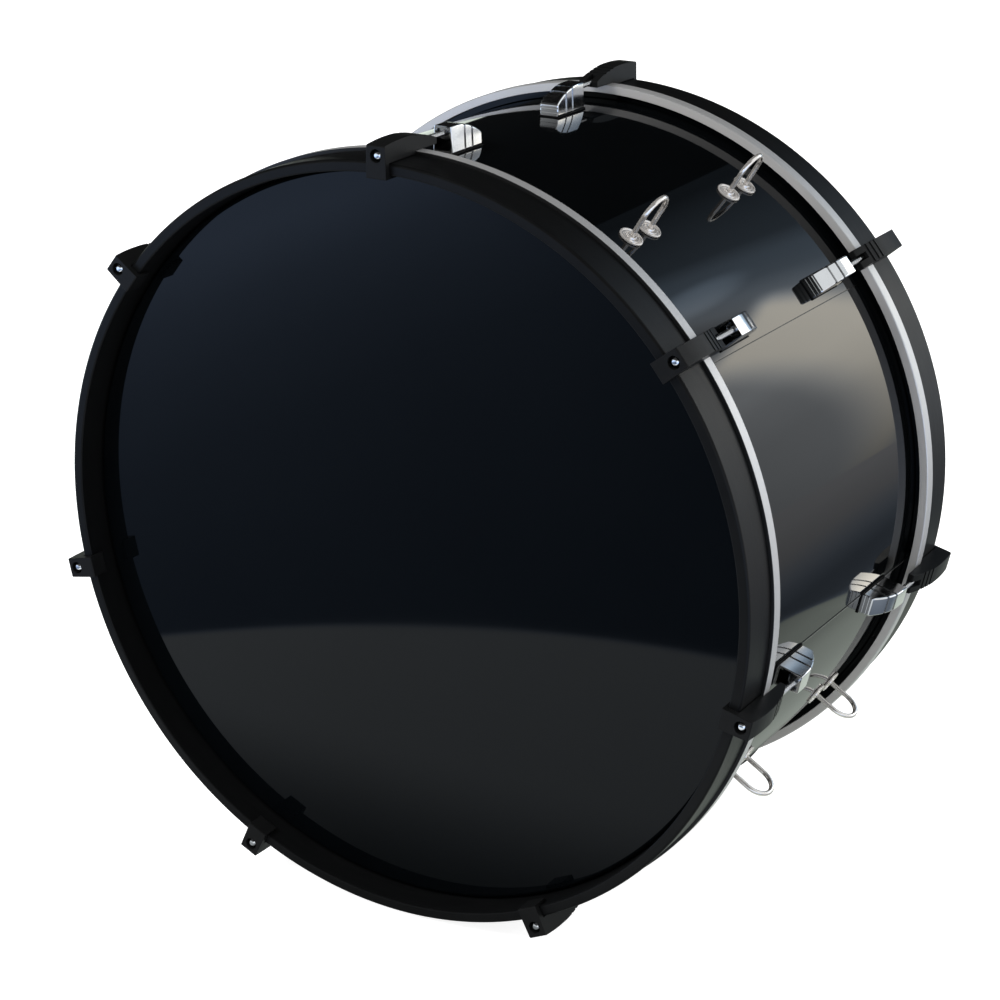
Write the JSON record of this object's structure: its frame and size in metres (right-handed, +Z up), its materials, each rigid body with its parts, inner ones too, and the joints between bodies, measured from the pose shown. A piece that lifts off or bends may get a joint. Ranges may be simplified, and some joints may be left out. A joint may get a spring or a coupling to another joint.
{
  "type": "marching bass drum",
  "caption": "Marching bass drum lying on its rims: glossy black shell, dark wooden counterhoops, black heads at both ends, claws with key rods, cast lugs and wire carry loops on the side.",
  "frame": {"origin": "in the plane the drum rests on, below the middle of the drum", "axes": "+Y along the drum's axis from the front head to the rear head, so the front head faces -Y; +Z up; the carry loops are on the +X side"},
  "size_m": [0.704, 0.4338, 0.7036],
  "materials": {
    "shell_wrap": "gloss black covering over a ply shell",
    "hoop_lacquer": "satin dark lacquer",
    "flesh_hoop_metal": "bright",
    "head_film": "gloss",
    "lug_chrome": "polished",
    "claw_paint": "satin dark grey",
    "rod_chrome": "polished",
    "loop_chrome": "polished, slightly dulled",
    "vent_chrome": "polished"
  },
  "bodies": {
    "drum": {"shell": "shell_wrap", "counterhoop_front": "hoop_lacquer", "flesh_hoop_front": "flesh_hoop_metal", "head_film_front": "head_film", "lug_front_1": "lug_chrome", "lug_front_2": "lug_chrome", "lug_front_3": "lug_chrome", "lug_front_4": "lug_chrome", "lug_front_5": "lug_chrome", "lug_front_6": "lug_chrome", "lug_front_7": "lug_chrome", "counterhoop_rear": "hoop_lacquer", "flesh_hoop_rear": "flesh_hoop_metal", "head_film_rear": "head_film", "lug_rear_1": "lug_chrome", "lug_rear_2": "lug_chrome", "lug_rear_3": "lug_chrome", "lug_rear_4": "lug_chrome", "lug_rear_5": "lug_chrome", "lug_rear_6": "lug_chrome", "lug_rear_7": "lug_chrome", "carry_loop_upper_front": "loop_chrome", "carry_loop_upper_rear": "loop_chrome", "carry_loop_lower_front": "loop_chrome", "carry_loop_lower_rear": "loop_chrome", "vent_grommet": "vent_chrome"},
    "claw_front_1": {"claw_front_1": "claw_paint"},
    "tension_rod_front_1": {"tension_rod_front_1": "rod_chrome"},
    "claw_front_2": {"claw_front_2": "claw_paint"},
    "tension_rod_front_2": {"tension_rod_front_2": "rod_chrome"},
    "claw_front_3": {"claw_front_3": "claw_paint"},
    "tension_rod_front_3": {"tension_rod_front_3": "rod_chrome"},
    "claw_front_4": {"claw_front_4": "claw_paint"},
    "tension_rod_front_4": {"tension_rod_front_4": "rod_chrome"},
    "claw_front_5": {"claw_front_5": "claw_paint"},
    "tension_rod_front_5": {"tension_rod_front_5": "rod_chrome"},
    "claw_front_6": {"claw_front_6": "claw_paint"},
    "tension_rod_front_6": {"tension_rod_front_6": "rod_chrome"},
    "claw_front_7": {"claw_front_7": "claw_paint"},
    "tension_rod_front_7": {"tension_rod_front_7": "rod_chrome"},
    "claw_rear_1": {"claw_rear_1": "claw_paint"},
    "tension_rod_rear_1": {"tension_rod_rear_1": "rod_chrome"},
    "claw_rear_2": {"claw_rear_2": "claw_paint"},
    "tension_rod_rear_2": {"tension_rod_rear_2": "rod_chrome"},
    "claw_rear_3": {"claw_rear_3": "claw_paint"},
    "tension_rod_rear_3": {"tension_rod_rear_3": "rod_chrome"},
    "claw_rear_4": {"claw_rear_4": "claw_paint"},
    "tension_rod_rear_4": {"tension_rod_rear_4": "rod_chrome"},
    "claw_rear_5": {"claw_rear_5": "claw_paint"},
    "tension_rod_rear_5": {"tension_rod_rear_5": "rod_chrome"},
    "claw_rear_6": {"claw_rear_6": "claw_paint"},
    "tension_rod_rear_6": {"tension_rod_rear_6": "rod_chrome"},
    "claw_rear_7": {"claw_rear_7": "claw_paint"},
    "tension_rod_rear_7": {"tension_rod_rear_7": "rod_chrome"}
  },
  "joints": [
    {"name": "claw_draw_front_1", "type": "slide", "parent": "drum", "child": "claw_front_1", "axis": [0, -1, 0], "range_m": [0, 0.01588]},
    {"name": "rod_turn_front_1", "type": "hinge", "parent": "claw_front_1", "child": "tension_rod_front_1", "pos_m": [0, -0.2, 0.6929], "axis": [0, -1, 0], "range_deg": [0, 5400]},
    {"name": "claw_draw_front_2", "type": "slide", "parent": "drum", "child": "claw_front_2", "axis": [0, -1, 0], "range_m": [0, 0.01588]},
    {"name": "rod_turn_front_2", "type": "hinge", "parent": "claw_front_2", "child": "tension_rod_front_2", "pos_m": [-0.27223, -0.2, 0.5618], "axis": [0, -1, 0], "range_deg": [0, 5400]},
    {"name": "claw_draw_front_3", "type": "slide", "parent": "drum", "child": "claw_front_3", "axis": [0, -1, 0], "range_m": [0, 0.01588]},
    {"name": "rod_turn_front_3", "type": "hinge", "parent": "claw_front_3", "child": "tension_rod_front_3", "pos_m": [-0.33947, -0.2, 0.26722], "axis": [0, -1, 0], "range_deg": [0, 5400]},
    {"name": "claw_draw_front_4", "type": "slide", "parent": "drum", "child": "claw_front_4", "axis": [0, -1, 0], "range_m": [0, 0.01588]},
    {"name": "rod_turn_front_4", "type": "hinge", "parent": "claw_front_4", "child": "tension_rod_front_4", "pos_m": [-0.15108, -0.2, 0.03098], "axis": [0, -1, 0], "range_deg": [0, 5400]},
    {"name": "claw_draw_front_5", "type": "slide", "parent": "drum", "child": "claw_front_5", "axis": [0, -1, 0], "range_m": [0, 0.01588]},
    {"name": "rod_turn_front_5", "type": "hinge", "parent": "claw_front_5", "child": "tension_rod_front_5", "pos_m": [0.15108, -0.2, 0.03098], "axis": [0, -1, 0], "range_deg": [0, 5400]},
    {"name": "claw_draw_front_6", "type": "slide", "parent": "drum", "child": "claw_front_6", "axis": [0, -1, 0], "range_m": [0, 0.01588]},
    {"name": "rod_turn_front_6", "type": "hinge", "parent": "claw_front_6", "child": "tension_rod_front_6", "pos_m": [0.33947, -0.2, 0.26722], "axis": [0, -1, 0], "range_deg": [0, 5400]},
    {"name": "claw_draw_front_7", "type": "slide", "parent": "drum", "child": "claw_front_7", "axis": [0, -1, 0], "range_m": [0, 0.01588]},
    {"name": "rod_turn_front_7", "type": "hinge", "parent": "claw_front_7", "child": "tension_rod_front_7", "pos_m": [0.27223, -0.2, 0.5618], "axis": [0, -1, 0], "range_deg": [0, 5400]},
    {"name": "claw_draw_rear_1", "type": "slide", "parent": "drum", "child": "claw_rear_1", "axis": [0, 1, 0], "range_m": [0, 0.01588]},
    {"name": "rod_turn_rear_1", "type": "hinge", "parent": "claw_rear_1", "child": "tension_rod_rear_1", "pos_m": [0, 0.2, 0.6929], "axis": [0, 1, 0], "range_deg": [0, 5400]},
    {"name": "claw_draw_rear_2", "type": "slide", "parent": "drum", "child": "claw_rear_2", "axis": [0, 1, 0], "range_m": [0, 0.01588]},
    {"name": "rod_turn_rear_2", "type": "hinge", "parent": "claw_rear_2", "child": "tension_rod_rear_2", "pos_m": [-0.27223, 0.2, 0.5618], "axis": [0, 1, 0], "range_deg": [0, 5400]},
    {"name": "claw_draw_rear_3", "type": "slide", "parent": "drum", "child": "claw_rear_3", "axis": [0, 1, 0], "range_m": [0, 0.01588]},
    {"name": "rod_turn_rear_3", "type": "hinge", "parent": "claw_rear_3", "child": "tension_rod_rear_3", "pos_m": [-0.33947, 0.2, 0.26722], "axis": [0, 1, 0], "range_deg": [0, 5400]},
    {"name": "claw_draw_rear_4", "type": "slide", "parent": "drum", "child": "claw_rear_4", "axis": [0, 1, 0], "range_m": [0, 0.01588]},
    {"name": "rod_turn_rear_4", "type": "hinge", "parent": "claw_rear_4", "child": "tension_rod_rear_4", "pos_m": [-0.15108, 0.2, 0.03098], "axis": [0, 1, 0], "range_deg": [0, 5400]},
    {"name": "claw_draw_rear_5", "type": "slide", "parent": "drum", "child": "claw_rear_5", "axis": [0, 1, 0], "range_m": [0, 0.01588]},
    {"name": "rod_turn_rear_5", "type": "hinge", "parent": "claw_rear_5", "child": "tension_rod_rear_5", "pos_m": [0.15108, 0.2, 0.03098], "axis": [0, 1, 0], "range_deg": [0, 5400]},
    {"name": "claw_draw_rear_6", "type": "slide", "parent": "drum", "child": "claw_rear_6", "axis": [0, 1, 0], "range_m": [0, 0.01588]},
    {"name": "rod_turn_rear_6", "type": "hinge", "parent": "claw_rear_6", "child": "tension_rod_rear_6", "pos_m": [0.33947, 0.2, 0.26722], "axis": [0, 1, 0], "range_deg": [0, 5400]},
    {"name": "claw_draw_rear_7", "type": "slide", "parent": "drum", "child": "claw_rear_7", "axis": [0, 1, 0], "range_m": [0, 0.01588]},
    {"name": "rod_turn_rear_7", "type": "hinge", "parent": "claw_rear_7", "child": "tension_rod_rear_7", "pos_m": [0.27223, 0.2, 0.5618], "axis": [0, 1, 0], "range_deg": [0, 5400]}
  ],
  "couplings": [
    {"joint": "rod_turn_front_1", "follows": "claw_draw_front_1", "rad_per_m": 5936.9},
    {"joint": "rod_turn_front_2", "follows": "claw_draw_front_2", "rad_per_m": 5936.9},
    {"joint": "rod_turn_front_3", "follows": "claw_draw_front_3", "rad_per_m": 5936.9},
    {"joint": "rod_turn_front_4", "follows": "claw_draw_front_4", "rad_per_m": 5936.9},
    {"joint": "rod_turn_front_5", "follows": "claw_draw_front_5", "rad_per_m": 5936.9},
    {"joint": "rod_turn_front_6", "follows": "claw_draw_front_6", "rad_per_m": 5936.9},
    {"joint": "rod_turn_front_7", "follows": "claw_draw_front_7", "rad_per_m": 5936.9},
    {"joint": "rod_turn_rear_1", "follows": "claw_draw_rear_1", "rad_per_m": 5936.9},
    {"joint": "rod_turn_rear_2", "follows": "claw_draw_rear_2", "rad_per_m": 5936.9},
    {"joint": "rod_turn_rear_3", "follows": "claw_draw_rear_3", "rad_per_m": 5936.9},
    {"joint": "rod_turn_rear_4", "follows": "claw_draw_rear_4", "rad_per_m": 5936.9},
    {"joint": "rod_turn_rear_5", "follows": "claw_draw_rear_5", "rad_per_m": 5936.9},
    {"joint": "rod_turn_rear_6", "follows": "claw_draw_rear_6", "rad_per_m": 5936.9},
    {"joint": "rod_turn_rear_7", "follows": "claw_draw_rear_7", "rad_per_m": 5936.9}
  ]
}
